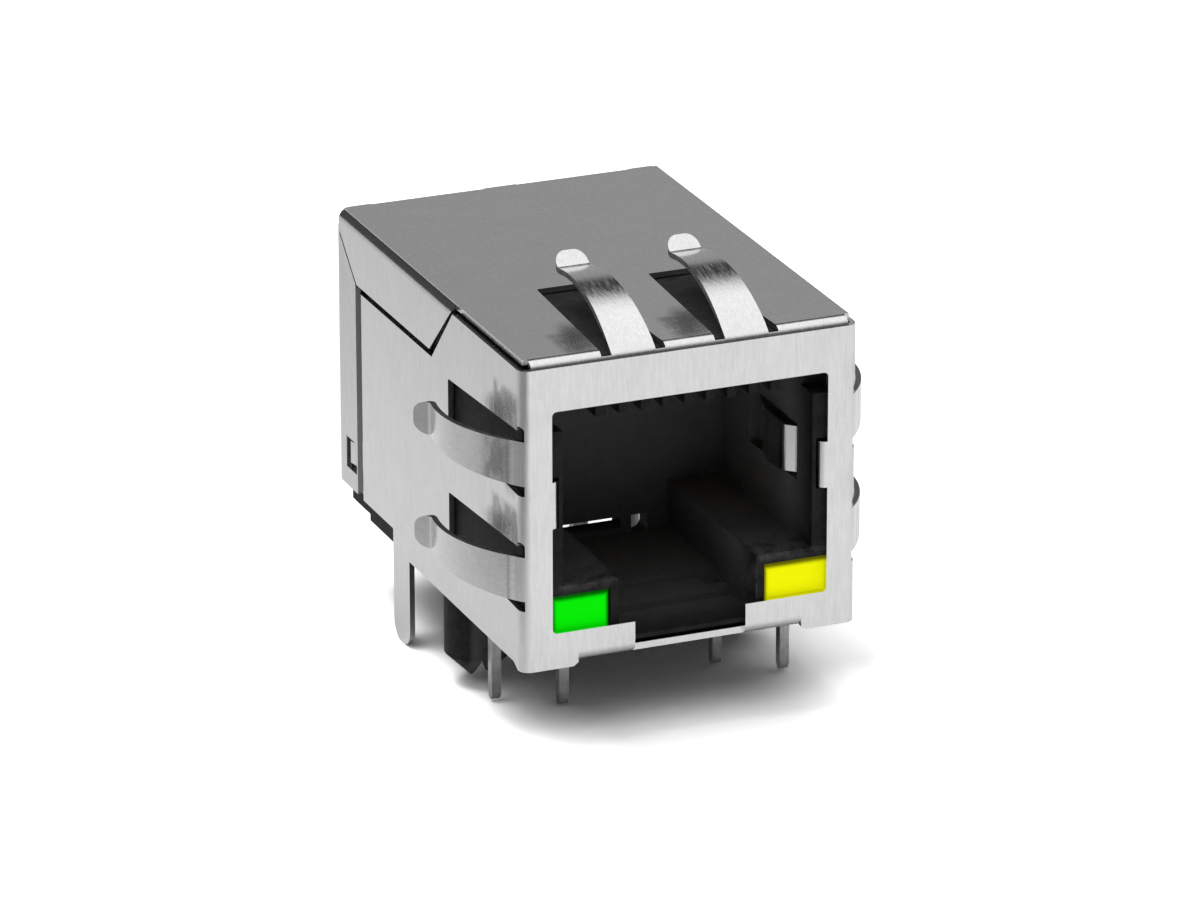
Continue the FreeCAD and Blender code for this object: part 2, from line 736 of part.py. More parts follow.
def shield():
    """The whole folded sheet with its openings, springs and legs."""
    half = s.width / 2
    panels = shield_panels()
    lip_half = s.lip_width / 2
    under_mouth = block(
        "lip_relief", centred(s.lip_width), (-1, s.metal + s.gap), (-s.face_drop - 1, s.bend)
    )
    blank = cut("wrapped_sheet", fused("panels", panels), [under_mouth])
    slope = lip_half + s.face_drop * 2
    slopes = [
        (-slope, -s.face_drop - s.gap),
        (s.gap - lip_half, s.gap),
        (lip_half - s.gap, s.gap),
        (slope, -s.face_drop - s.gap),
    ]
    blank = cut("sloped_sheet", blank, [extruded("lip_slopes", "XZ", slopes, -1, s.metal + s.gap)])
    with_lip = fused("sheet_with_lip", [blank, shield_lip()] + shield_legs())
    mouth = extruded(
        "mouth",
        "XZ",
        rectangle(*centred(s.mouth_width), s.mouth_low, s.mouth_high, s.mouth_round),
        -1,
        s.metal + s.gap,
    )
    notch = block(
        "latch_notch", centred(s.notch_width), (-1, s.metal + s.gap), (-1, s.mouth_low + s.mouth_round)
    )
    cutters = [mouth, notch]
    slot_depth = s.bend
    for side, sign in SIDES:
        low, high = centred(s.slot_width, sign * s.slot_pitch / 2)
        cutters.append(block(
            f"rear_slot_{side}",
            (low, high),
            (s.depth - slot_depth, s.depth + 1),
            (s.height - s.bend * 1.2, s.height + 1),
        ))
    for name, turn, x, z in finger_places():
        cutters.append(finger_window(f"window_{name}", turn, x, z))
        if turn:
            relief = doc.addObject("Part::Cylinder", f"relief_{name}")
            bind(relief, "Radius", s.relief_radius)
            relief.Height = 2
            relief.Placement.Rotation = FreeCAD.Rotation(FreeCAD.Vector(0, 1, 0), 90)
            bind(relief, "Placement.Base.x", x - 1)
            bind(relief, "Placement.Base.y", s.bend * 0.6)
            bind(relief, "Placement.Base.z", z + s.window_root / 2)
            cutters.append(relief)
    opened = cut("opened_sheet", with_lip, cutters)
    fingers = [finger(f"finger_{name}", turn, x, z) for name, turn, x, z in finger_places()]
    finish("shield", fused("shield", [opened] + fingers + grounding_springs() + catch_bumps()))


# Housing: one black moulding

def carrier_front():
    """The rear of the wall behind the cavity, where the chamber starts."""
    return s.cavity_depth + s.back_wall


def tail_row(index):
    """The row of a contact's tail, odd and even contacts staggered."""
    return carrier_front() + (s.tail_near if index % 2 else s.tail_far)


def contact_places():
    """The middle of each contact, left to right."""
    return [(index - 3.5) * s.contact_pitch for index in range(8)]


def lamp_place():
    """A lamp's middle from the jack's middle."""
    return s.width / 2 - s.lamp_middle


def lead_places():
    """Lamp lead name, its place across and its row, the two lamps staggered the other way about."""
    inner = lamp_place() - s.lead_pitch / 2
    outer = lamp_place() + s.lead_pitch / 2
    return [
        ("green_lead_outer", -outer, s.lead_far),
        ("green_lead_inner", -inner, s.lead_near),
        ("yellow_lead_inner", inner, s.lead_far),
        ("yellow_lead_outer", outer, s.lead_near),
    ]


def on_board(body, kind, name, x, z):
    """A round primitive held by the body's board plane, at the posts' setback."""
    feature = body.newObject(kind, name)
    origin_plane = next(f for f in body.Origin.OriginFeatures if f.Role == "XY_Plane")
    feature.AttachmentSupport = [(origin_plane, "")]
    feature.MapMode = "FlatFace"
    bind(feature, "AttachmentOffset.Base.x", x)
    bind(feature, "AttachmentOffset.Base.y", s.post_setback)
    bind(feature, "AttachmentOffset.Base.z", z)
    return feature


def housing():
    """The moulding: cavity, latch channel, lamp pockets, comb, chamber and split posts."""
    body = doc.addObject("PartDesign::Body", "housing")
    wall = s.metal + s.gap
    half = s.width / 2 - wall
    front, rear = wall, s.depth - wall
    top = s.height - wall
    base = pad(body, "blank", "XY", [rectangle(-half, half, front, rear, s.corner_round)], 0, top)
    doc.recompute()
    rims = []
    for index, edge in enumerate(base.Shape.Edges, 1):
        if all(abs(v.Z - top.value) < 1e-6 for v in edge.Vertexes):
            rims.append(f"Edge{index}")
    rounded = body.newObject("PartDesign::Chamfer", "top_edges")
    rounded.Base = (base, rims)
    bind(rounded, "Size", s.corner_round * 0.7)
    # Split locating posts with a lead-in, ending just under the side panels' edges
    for side, sign in SIDES:
        middle = sign * s.post_pitch / 2
        low = s.post_chamfer - s.post_reach
        post = on_board(body, "PartDesign::AdditiveCylinder", f"post_{side}", middle, low)
        bind(post, "Radius", s.post_radius)
        bind(post, "Height", s.post_reach - s.post_chamfer + s.side_lift / 2)
        post.Refine = False
        tip = on_board(body, "PartDesign::AdditiveCone", f"post_tip_{side}", middle, -s.post_reach)
        bind(tip, "Radius1", s.post_radius - s.post_chamfer)
        bind(tip, "Radius2", s.post_radius)
        bind(tip, "Height", s.post_chamfer)
        tip.Refine = False
    lip = s.lip_width / 2 + s.gap * 4
    lip_seat = rectangle(-lip, lip, front - 1, s.lip_depth + s.gap * 2)
    pocket(body, "lip_seat", "XY", [lip_seat], -1, wall)
    bend_seat = rectangle(-lip, lip, front - 1, s.bend + s.gap * 4)
    pocket(body, "lip_bend_seat", "XY", [bend_seat], -1, s.bend + s.gap)
    # Cavity and latch channel
    cavity = rectangle(*centred(s.cavity_width), s.cavity_low, s.cavity_high)
    pocket(body, "plug_cavity", "XZ", [cavity], front - 1, s.cavity_depth)
    second_floor = s.channel_floor + s.step_rise
    third_floor = second_floor + s.step_rise
    for name, floor, start, end in (
        ("channel_mouth", s.channel_floor, front - 1, s.first_step),
        ("channel_middle", second_floor, s.first_step - s.gap, s.second_step),
        ("channel_rear", third_floor, s.second_step - s.gap, s.cavity_depth),
    ):
        opening = rectangle(*centred(s.channel_width), floor, s.cavity_low + s.gap)
        pocket(body, name, "XZ", [opening], start, end)
    # Core holes through the channel's floor, beside the latch
    core_holes = []
    for side, sign in SIDES:
        across = sided(sign, s.channel_width / 2 - 0.9, s.channel_width / 2 - 0.1)
        core_holes.append(rectangle(*across, s.lip_depth + 0.8, s.second_step))
    pocket(body, "core_holes", "XY", core_holes, -1, s.cavity_low)
    # Comb slots in the front of the contact bay, then the bay itself
    slots = []
    for place in contact_places():
        slots.append(rectangle(*centred(s.comb_slot, place), s.cavity_high - s.gap, s.bay_high))
    pocket(body, "comb_slots", "XZ", slots, front - 1, s.comb_depth + s.gap)
    recesses, waists = [], []
    for side, sign in SIDES:
        recesses.append(rectangle(*sided(sign, s.bay_width / 2, s.recess_width), s.recess_low, s.recess_high))
        beside_wing = (joggle_start() - s.gap, rear + 1)
        waists.append(rectangle(*sided(sign, half - s.metal - s.lap, half + 1), *beside_wing))
    pocket(body, "corner_recesses", "XZ", recesses, front - 1, s.recess_depth)
    pocket(body, "waists", "XY", waists, -1, s.height)
    bay = rectangle(*centred(s.bay_width), s.cavity_high - s.gap, s.bay_high)
    chamber_front = carrier_front()
    pocket(body, "contact_bay", "XZ", [bay], s.comb_depth, chamber_front + s.gap)
    chamber = rectangle(*centred(s.chamber_width), -1, s.bay_high)
    pocket(body, "carrier_chamber", "XZ", [chamber], chamber_front, s.depth + 1)
    # Slit and round-ended hole through the wall's foot, under the carrier
    round_end = s.eye_radius * 0.98
    eye = [
        (s.eye_middle - s.eye_radius, s.eye_low, round_end),
        (s.eye_middle + s.eye_radius, s.eye_low, round_end),
        (s.eye_middle + s.eye_radius, s.slit_high),
        (s.eye_middle - s.eye_radius, s.slit_high),
    ]
    slit = rectangle(-s.slit_left, s.slit_right, s.slit_low, s.slit_high)
    pocket(body, "wall_vents", "XZ", [slit, eye], s.cavity_depth - s.gap, chamber_front + s.gap)
    # Pockets for the lamps, their leads and the grounding springs
    lamp_pockets, spring_slots, spring_windows, lead_holes = [], [], [], []
    spring_out = s.spring_root + s.metal + s.spring_pocket
    spring_side = s.spring_root - s.gap * 1.4
    spring_z = (
        s.spring_low - s.spring_pocket / 2,
        s.spring_low + s.spring_height + s.spring_pocket / 2,
    )
    for side, sign in SIDES:
        low, high = centred(s.lamp_width + s.lamp_play * 2, sign * lamp_place())
        lamp_high = s.lamp_low + s.lamp_height + s.lamp_play
        lamp_pockets.append(rectangle(low, high, s.lamp_low - s.lamp_play, lamp_high))
        slot_z = (s.spring_low - s.gap * 2, s.spring_low + s.spring_height + s.gap * 2)
        spring_slots.append(rectangle(*sided(sign, spring_side, spring_out), *slot_z))
        inner = s.cavity_width / 2 - s.gap
        spring_windows.append(rectangle(*sided(sign, inner, spring_out), *spring_z))
    for name, place, row in lead_places():
        hole = s.lead_wire + s.wire_play * 2
        lead_holes.append(rectangle(*centred(hole, place), *centred(hole, row)))
    pocket(body, "lamp_pockets", "XZ", lamp_pockets, front - 1, s.lead_far + s.wire)
    window_front = s.spring_straight - s.bend * 0.4
    pocket(body, "spring_slots", "XZ", spring_slots, front - 1, window_front + s.gap)
    window_rear = s.spring_end + s.spring_pocket
    pocket(body, "spring_windows", "XZ", spring_windows, window_front, window_rear)
    pocket(body, "lead_holes", "XY", lead_holes, -1, s.lamp_low + s.gap)
    along = centred(s.post_radius * 2 + 1, s.post_setback)
    splits = []
    for side, sign in SIDES:
        splits.append(rectangle(*centred(s.post_slot, sign * s.post_pitch / 2), *along))
    split = pocket(body, "post_splits", "XY", splits, -s.post_reach - 1, s.post_slot_height - s.post_reach)
    split.Refine = True
    finish("housing", body)


# Signal lamps and their leads

def lamps():
    """A clear rectangular lamp in each lower corner of the mouth, on two square leads."""
    for colour, sign in (("green", -1), ("yellow", 1)):
        body = doc.addObject("PartDesign::Body", f"lamp_{colour}")
        low, high = centred(s.lamp_width, sign * lamp_place())
        face = rectangle(low, high, s.lamp_low, s.lamp_low + s.lamp_height)
        lens = pad(body, f"{colour}_lens", "XZ", [face], s.lamp_front, s.lamp_front + s.lamp_length)
        doc.recompute()
        edges = []
        for index, edge in enumerate(lens.Shape.Edges, 1):
            if all(abs(v.Y - s.lamp_front.value) < 1e-6 for v in edge.Vertexes):
                edges.append(f"Edge{index}")
        soft = body.newObject("PartDesign::Chamfer", f"{colour}_front_edges")
        soft.Base = (lens, edges)
        bind(soft, "Size", s.lamp_play * 2)
        finish(f"lamp_{colour}", body)
    lamp_back = s.lamp_front + s.lamp_length
    middle_z = s.lamp_low + s.lamp_height / 2
    for name, place, row in lead_places():
        body = doc.addObject("PartDesign::Body", name)
        half = s.lead_wire / 2
        taper = half * 0.4
        lead = [
            (lamp_back, middle_z - half),
            (row - half, middle_z - half, s.lead_wire / 5),
            (row - half, taper * 3 - s.lead_reach),
            (row - taper, -s.lead_reach),
            (row + taper, -s.lead_reach),
            (row + half, taper * 3 - s.lead_reach),
            (row + half, middle_z + half, s.lead_wire),
            (lamp_back, middle_z + half),
        ]
        pad(body, f"{name}_wire", "YZ", [lead], *centred(s.lead_wire, place))
        finish(name, body)


# Contacts, carrier, inner board, pins and rings

def contacts():
    """Eight formed strips: tail, upper run, front bend and the sloping arm that meets the plug."""
    for index, place in enumerate(contact_places(), 1):
        tail = tail_row(index)
        path = [
            (tail, s.board_low - 0.4),
            (tail, s.contact_run, s.contact_round),
            (s.contact_front, s.contact_run, s.contact_round),
            (s.contact_front, s.contact_turn, s.contact_round),
            (s.cavity_depth - s.contact_end, s.contact_end_height),
        ]
        strip = ribbon(f"contact_{index}", "YZ", path, s.contact_metal, *centred(s.contact_width, place))
        finish(f"contact_{index}", strip)


def pin_places():
    """Place across and row of each signal pin, left to right, in two staggered rows."""
    near = carrier_front() + s.pin_near
    far = carrier_front() + s.pin_far
    places = []
    for index in range(8):
        places.append(((index - 3.5) * s.pin_pitch + s.pin_shift, far if index % 2 else near))
    return places


def carrier():
    """The moulding behind the cavity: base with pin holes, cheeks, front wall and tongue."""
    body = doc.addObject("PartDesign::Body", "contact_carrier")
    half = s.chamber_width / 2 - s.fit
    front = carrier_front() + s.fit
    rear = s.depth - s.metal - s.gap * 2
    base = [
        (front, s.base_height - s.base_nose),
        (front + s.base_slope, s.base_low),
        (rear, s.base_low),
        (rear, s.base_height),
        (front, s.base_height),
    ]
    pad(body, "carrier_base", "YZ", [base], -half, half)
    cheeks = [rectangle(*sided(sign, half - s.cheek, half), front, rear) for side, sign in SIDES]
    pad(body, "carrier_cheeks", "XY", cheeks, s.base_height - s.gap, s.board_low)
    wall_high = s.contact_run - s.contact_metal - s.gap
    wall_rear = carrier_front() + s.board_front - s.fit
    wall = rectangle(-half, half, front, wall_rear)
    pad(body, "carrier_front_wall", "XY", [wall], s.base_height - s.gap, wall_high)
    bay_half = s.bay_width / 2 - s.fit
    tongue = rectangle(-bay_half, bay_half, s.tongue_front, front + s.gap)
    pad(body, "carrier_tongue", "XY", [tongue], wall_high - s.tongue_height, wall_high)
    holes = []
    for place, row in pin_places():
        hole = s.wire + s.wire_play * 2
        holes.append(rectangle(*centred(hole, place), *centred(hole, row)))
    drilled = pocket(body, "pin_holes", "XY", holes, -1, s.base_height + 1)
    drilled.Refine = True
    finish("contact_carrier", body)


def inner_board():
    """The small board that joins the contacts' tails to the pins."""
    half = s.chamber_width / 2 - s.fit
    rear = s.depth - s.metal - s.gap * 2
    board = block(
        "board_blank",
        (-half, half),
        (carrier_front() + s.board_front, rear),
        (s.board_low, s.board_low + s.board_metal),
    )
    holes = []
    height = (s.board_low - 1, s.board_low + s.board_metal + 1)
    for index, (place, row) in enumerate(pin_places(), 1):
        size = s.wire + s.wire_play * 2
        holes.append(block(f"board_pin_hole_{index}", centred(size, place), centred(size, row), height))
    for index, place in enumerate(contact_places(), 1):
        tail = tail_row(index)
        across = centred(s.contact_width + s.wire_play * 2, place)
        along = (tail - s.contact_metal - s.wire_play * 2, tail + s.contact_metal + s.wire_play * 2)
        holes.append(block(f"board_tail_hole_{index}", across, along, height))
    finish("inner_board", cut("inner_board", board, holes))


def pins():
    """Eight square signal pins from the inner board down through the outer board."""
    for index, (place, row) in enumerate(pin_places(), 1):
        body = doc.addObject("PartDesign::Body", f"board_pin_{index}")
        half = s.wire / 2
        taper = half * 0.4
        shape = [
            (row - half, s.board_low + s.board_metal + s.wire / 2),
            (row - half, taper * 3 - s.pin_reach),
            (row - taper, -s.pin_reach),
            (row + taper, -s.pin_reach),
            (row + half, taper * 3 - s.pin_reach),
            (row + half, s.board_low + s.board_metal + s.wire / 2),
        ]
        pad(body, f"pin_{index}_wire", "YZ", [shape], *centred(s.wire, place))
        finish(f"board_pin_{index}", body)


def rings():
    """Two rows of four ferrite rings: transformers in front of the pins, chokes behind them."""
    behind_pins = carrier_front() + s.pin_far + s.wire / 2 + s.ring_rear
    rows = (
        ("transformer_ring", carrier_front() + s.ring_front, s.ring_thickness),
        ("choke_ring", behind_pins, s.choke_thickness),
    )
    for row_name, row, thickness in rows:
        for index in range(4):
            name = f"{row_name}_{index + 1}"
            place = (index - 1.5) * s.ring_pitch
            solids = []
            for part_name, radius in (("outer", s.ring_radius), ("hole", s.ring_hole)):
                cylinder = doc.addObject("Part::Cylinder", f"{name}_{part_name}")
                cylinder.Placement.Rotation = FreeCAD.Rotation(FreeCAD.Vector(1, 0, 0), -90)
                bind(cylinder, "Radius", radius)
                bind(cylinder, "Height", thickness)
                bind(cylinder, "Placement.Base.x", place)
                bind(cylinder, "Placement.Base.y", row)
                bind(cylinder, "Placement.Base.z", s.base_height + s.ring_radius + s.gap / 2)
                solids.append(cylinder)
            finish(name, cut(name, solids[0], solids[1:]))


shield()
housing()
lamps()
contacts()
carrier()
inner_board()
pins()
rings()

for thing in finished.values():
    bind(thing, "Placement.Base.y", -s.post_setback)
doc.recompute()

# Every object has to be sound before anything is written
faults = []
for thing in doc.Objects:
    if "Invalid" in thing.State or "Error" in thing.State:
        faults.append(f"{thing.Label}: {thing.State}")
for node, thing in finished.items():
    shape = thing.Shape
    if shape.isNull() or not shape.isValid():
        faults.append(f"{node}: no valid shape")
    elif len(shape.Solids) != 1:
        faults.append(f"{node}: {len(shape.Solids)} solids")
if faults:
    raise SystemExit("\n".join(faults))
for node, thing in finished.items():
    thing.Shape.exportStep(f"parts/{node}.step")
    box = thing.Shape.BoundBox
    print(
        f"{node}: {thing.Shape.Volume:.2f} mm3,"
        f" x {box.XMin:.2f} to {box.XMax:.2f},"
        f" y {box.YMin:.2f} to {box.YMax:.2f},"
        f" z {box.ZMin:.2f} to {box.ZMax:.2f}"
    )
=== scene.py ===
# %% [markdown]
# # A shielded board jack
#
# This is the small metal-cased socket that a network plug clicks into, of the kind that is soldered
# to a circuit board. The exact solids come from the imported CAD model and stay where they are. What
# is left to do here is everything that the eye reads as real: the satin tin plating with its grain
# and rub marks, the dull black moulding with dust in it, two clear coloured lamps, gold on the
# contacts, and the studio that the metal mirrors.

import bpy
import numpy as np
from mathutils import Matrix, Vector


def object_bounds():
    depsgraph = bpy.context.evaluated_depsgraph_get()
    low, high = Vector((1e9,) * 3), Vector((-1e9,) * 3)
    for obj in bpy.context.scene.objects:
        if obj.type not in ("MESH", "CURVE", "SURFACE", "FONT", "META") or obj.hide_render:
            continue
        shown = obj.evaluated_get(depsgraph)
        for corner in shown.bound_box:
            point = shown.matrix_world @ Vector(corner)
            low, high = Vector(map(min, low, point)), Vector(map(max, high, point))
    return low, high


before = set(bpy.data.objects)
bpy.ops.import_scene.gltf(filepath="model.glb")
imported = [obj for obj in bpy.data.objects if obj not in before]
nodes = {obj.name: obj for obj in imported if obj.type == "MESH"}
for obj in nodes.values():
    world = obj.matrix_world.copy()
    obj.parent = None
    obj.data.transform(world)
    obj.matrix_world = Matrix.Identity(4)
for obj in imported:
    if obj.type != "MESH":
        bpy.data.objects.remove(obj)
cad_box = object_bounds()
print("CAD pieces:", len(nodes))
print("CAD box in mm:", [[round(v * 1000, 2) for v in corner] for corner in cad_box])

# %% [markdown]
# ## The camera
#
# Small things photographed from a few centimetres away look stretched, so product pictures are
# taken from further off with a long lens. The lines of this picture hardly converge, which tells
# of a lens near 230 mm on a full-frame sensor, a third of a metre away. I place the camera by the
# angle round the part and the angle above it, measured from the part's front.

# %% Place the camera
MM = 0.001
SENSOR = 36.0
IMAGE_WIDTH = 1200
NEAR_CLIP, FAR_CLIP = 0.01, 10.0


def view_axes(azimuth, elevation, roll):
    """Unit vectors towards the viewer, to the right and up, turned by the roll in degrees.

    Towards the viewer is (sin a cos e, -cos a cos e, sin e), and up is its cross product with the
    level right-hand direction (cos a, sin a, 0).
    """
    a, e, r = np.radians([azimuth, elevation, roll])
    back = np.array([np.sin(a) * np.cos(e), -np.cos(a) * np.cos(e), np.sin(e)])
    level = np.array([np.cos(a), np.sin(a), 0.0])
    lift = np.cross(back, level)
    right = level * np.cos(r) + lift * np.sin(r)
    up = lift * np.cos(r) - level * np.sin(r)
    return back, right, up


def place_camera(aim, azimuth, elevation, roll, distance, across, above, focal_pixels):
    """Stands the camera at aim + distance * back + across * right + above * up, in millimetres."""
    back, right, up = view_axes(azimuth, elevation, roll)
    place = np.array(aim) + back * distance + right * across + up * above
    data = bpy.data.cameras.new("studio_camera")
    data.sensor_width = SENSOR
    data.lens = focal_pixels / IMAGE_WIDTH * SENSOR
    data.clip_start = NEAR_CLIP
    data.clip_end = FAR_CLIP
    camera = bpy.data.objects.new("studio_camera", data)
    turn = Matrix([[right[i], up[i], back[i]] for i in range(3)])
    camera.matrix_world = Matrix.Translation(Vector(place * MM)) @ turn.to_4x4()
    bpy.context.scene.collection.objects.link(camera)
    bpy.context.scene.camera = camera
    return camera


camera = place_camera(
    aim=(0.0, 0.7, 7.0),
    azimuth=-22.43,
    elevation=20.96,
    roll=-0.10,
    distance=341.4,
    across=-0.133,
    above=-1.316,
    focal_pixels=7650.0,
)
print("lens in mm:", round(camera.data.lens, 1))

# %% [markdown]
# ## Shader maths as plain expressions
#
# A material's pattern is arithmetic: take a noise, push its contrast, multiply by a mask. Adding
# each Math node by hand hides that, so one small class wraps a socket and gives it the ordinary
# operators. An expression such as `1 - mask * 0.4` then builds its own nodes.

# %% Wrap a socket


class Value:
    """A number that changes over a surface: the output socket of some node."""

    def __init__(self, graph, socket):
        self.graph = graph
        self.socket = socket

    def _math(self, operation, left, right=None):
        sockets = {0: left} if right is None else {0: left, 1: right}
        return self.graph.add("ShaderNodeMath", {"operation": operation}, sockets)

    def __add__(self, other):
        return self._math("ADD", self, other)

    def __radd__(self, other):
        return self._math("ADD", other, self)

    def __sub__(self, other):
        return self._math("SUBTRACT", self, other)

    def __rsub__(self, other):
        return self._math("SUBTRACT", other, self)

    def __mul__(self, other):
        return self._math("MULTIPLY", self, other)

    def __rmul__(self, other):
        return self._math("MULTIPLY", other, self)

    def absolute(self):
        """Distance from zero."""
        return self._math("ABSOLUTE", self)

    def high(self, other):
        """The larger of the two."""
        return self._math("MAXIMUM", self, other)

    def ramp(self, start, end, low=0.0, high=1.0):
        """Goes smoothly from low to high while the value goes from start to end."""
        settings = {"interpolation_type": "SMOOTHSTEP"}
        sockets = {"Value": self, "From Min": start, "From Max": end, "To Min": low, "To Max": high}
        return self.graph.add("ShaderNodeMapRange", settings, sockets)

    def band(self, start, full, last_full, end):
        """Rises from 0 to 1 between the first two values and falls back between the last two."""
        return self.ramp(start, full) * self.ramp(last_full, end, 1.0, 0.0)


# %% [markdown]
# ## The nodes of one material
#
# A node needs its settings first, because some of them, such as a Mix node's data type, change
# which sockets it has, and then its values or links. One method does that for every kind of node,
# and the few that every finish needs get a short name here. Patterns are measured in millimetres
# on the part itself, so they stay on it from whatever side it is seen.

# %% Wrap a node tree
OBJECT_COORDINATES = 3
TRUE_NORMAL = 3


class Graph:
    """The nodes of one material, or of the world."""

    def __init__(self, tree):
        self.tree = tree
        tree.nodes.clear()

    def add(self, kind, settings=None, sockets=None, out=0):
        """Adds a node: settings first, then values or links for its sockets."""
        node = self.tree.nodes.new(kind)
        for name, value in (settings or {}).items():
            setattr(node, name, value)
        for name, value in (sockets or {}).items():
            target = node.inputs[name]
            if isinstance(value, Value):
                self.tree.links.new(value.socket, target)
            else:
                target.default_value = value
        return Value(self, node.outputs[out]) if node.outputs else None

    def split(self, vector):
        """The x, y and z of a vector."""
        x = self.add("ShaderNodeSeparateXYZ", sockets={0: vector})
        y, z = (Value(self, x.socket.node.outputs[i]) for i in (1, 2))
        return x, y, z

    def place(self):
        """Object coordinates in millimetres."""
        coordinates = self.add("ShaderNodeTexCoord", out=OBJECT_COORDINATES)
        sockets = {0: coordinates, "Scale": 1.0 / MM}
        return self.add("ShaderNodeVectorMath", {"operation": "SCALE"}, sockets)

    def facing(self):
        """How far the true face turns towards x, y and z."""
        return self.split(self.add("ShaderNodeNewGeometry", out=TRUE_NORMAL))

    def noise(self, vector, scale, detail=3.0, roughness=0.55, stretch=(1.0, 1.0, 1.0)):
        """Cloudy noise from 0 to 1, pulled out along an axis by a stretch below 1."""
        stretched = self.add("ShaderNodeMapping", sockets={"Vector": vector, "Scale": stretch})
        sockets = {"Vector": stretched, "Scale": scale, "Detail": detail, "Roughness": roughness}
        return self.add("ShaderNodeTexNoise", {"noise_dimensions": "3D"}, sockets)

    def mix(self, factor, first, second):
        """Colour between first and second."""
        sockets = {0: factor, 6: first, 7: second}
        return self.add("ShaderNodeMix", {"data_type": "RGBA"}, sockets, out=2)

    def grey(self, tone, blue=1.0):
        """A grey of a tone that changes over the surface, its blue a touch stronger or weaker."""
        sockets = {0: tone, 1: tone, 2: tone if blue == 1.0 else tone * blue}
        return self.add("ShaderNodeCombineColor", sockets=sockets)

    def bump(self, height, strength, distance):
        """Tilts the shading by a height pattern; distance in metres."""
        sockets = {"Height": height, "Strength": strength, "Distance": distance}
        return self.add("ShaderNodeBump", sockets=sockets)

    def surface(self, sockets, kind="ShaderNodeBsdfPrincipled"):
        """The finished surface, wired to the output."""
        shader = self.add(kind, sockets=sockets)
        self.add("ShaderNodeOutputMaterial", sockets={"Surface": shader})


def new_material(name):
    """An empty material and its graph."""
    material = bpy.data.materials.new(name)
    material.use_nodes = True
    return material, Graph(material.node_tree)


def dress(names, material):
    """Gives the named CAD pieces a material."""
    for name in names:
        node = nodes[name]
        node.data.materials.clear()
        node.data.materials.append(material)
    print(material.name, "on", len(names), "pieces")


# %% [markdown]
# ## Rub marks
#
# Where the punch pressed the sheet down beside a finger's window, and where a plug's shell and
# hands have rubbed, the tin is smudged darker. A smudge is easiest as a soft box in x, y and z,
# broken up by a noise that is pulled out upwards, so that it looks wiped and not painted.

# %% Soft boxes and rub marks
INNER_SHARE = 0.3  # of a soft box's blur lies inside it

# Low corner, high corner and blur of each mark, in millimetres
RUB_MARKS = [
    # On the top panel, to the left of each finger's window
    ((-5.4, -8.4, 13.9), (-4.0, -6.5, 14.4), 0.4),
    ((-0.2, -8.4, 13.9), (1.4, -6.3, 14.4), 0.4),
    # On the left side panel, over each finger's window
    ((-8.1, -8.7, 11.0), (-7.7, -6.3, 12.4), 0.4),
    ((-8.1, -8.7, 5.7), (-7.7, -6.1, 7.1), 0.4),
    # On the upper left finger, near its root
    ((-9.6, -8.4, 8.0), (-8.05, -7.6, 11.0), 0.5),
    # On the right side panel, over each finger's window, small and soft
    ((7.7, -8.7, 11.4), (8.1, -7.4, 12.0), 0.9),
    ((7.7, -8.7, 6.0), (8.1, -7.2, 6.6), 0.9),
]


def soft_box(along, low, high, blur):
    """1 inside the box from low to high, falling to 0 over the blur outside it.

    The product of one band along x, one along y and one along z.
    """
    inner = blur * INNER_SHARE
    inside = None
    for value, start, end in zip(along, low, high):
        band = value.band(start - blur, start + inner, end - inner, end + blur)
        inside = band if inside is None else inside * band
    return inside


def rub_marks(g, place, along):
    """Dark smudges beside the finger windows, broken up by a streaky noise."""
    streaky = g.noise(place, 2.4, detail=4.0, roughness=0.7, stretch=(1.0, 0.5, 0.35))
    broken = streaky.ramp(0.24, 0.56)
    marks = None
    for low, high, blur in RUB_MARKS:
        mark = soft_box(along, low, high, blur)
        marks = mark if marks is None else marks.high(mark)
    return marks * broken


print("rub marks:", len(RUB_MARKS))

# %% [markdown]
# ## The tin plating
#
# The case is stamped from thin steel strip that was plated with tin before it was cut. Tin is pale
# and satin: it mirrors the room, but blurs it along the direction in which the strip was rolled.
# Fine streaks run up the upright faces and along the fingers. The cut edges show bare, darker
# steel, with painted shade laid over it. Across each side finger, where it is bent, a line of
# painted shade with a painted highlight beside it stands for the crease. The wings come out a
# little darker.

# %% Plated sheet
TIN = 0.755
SIDE_FACE = 7.95  # outside of the side panels, either way from the middle
TOP_FACE = 14.2  # upper face of the top panel
HEM_LOW = 11.25  # lower edge of the hem, where the wing's seam starts to slope
SEAM_SLOPE = 0.915  # run of that seam towards the back for each millimetre up
WING_FRONT = 10.65
# A crease across each side finger is painted: painted shade in the first band, a painted highlight
# in the second.
CREASE_SHADE_BAND = (-8.64, -8.58, -8.52, -8.46)  # band in y across each side finger
CREASE_HIGHLIGHT_BAND = (-8.86, -8.80, -8.70, -8.64)


def bare_edges_and_shade(from_middle, y, turn_y, turn_z):
    """1 on bare steel with painted shade over it: the fingers' upper edges, and less on edges that
    were punched.

    An edge is told from a face by the way it turns: up on a finger, forward behind the front.
    """
    finger_edge = from_middle.ramp(SIDE_FACE + 0.02, SIDE_FACE + 0.05) * turn_z.ramp(0.35, 0.70)
    punched_edge = (0.0 - turn_y).ramp(0.90, 0.97) * y.ramp(-8.9, -8.6) * from_middle.ramp(7.5, 7.6)
    return finger_edge.high(punched_edge * 0.8)


def wing(from_middle, y, z):
    """1 on the rear wings, up to the seam that slopes back along the hem."""
    sloped = y - (z - HEM_LOW).high(0.0) * SEAM_SLOPE
    return sloped.ramp(WING_FRONT, WING_FRONT + 0.1) * from_middle.ramp(SIDE_FACE - 0.02, SIDE_FACE)


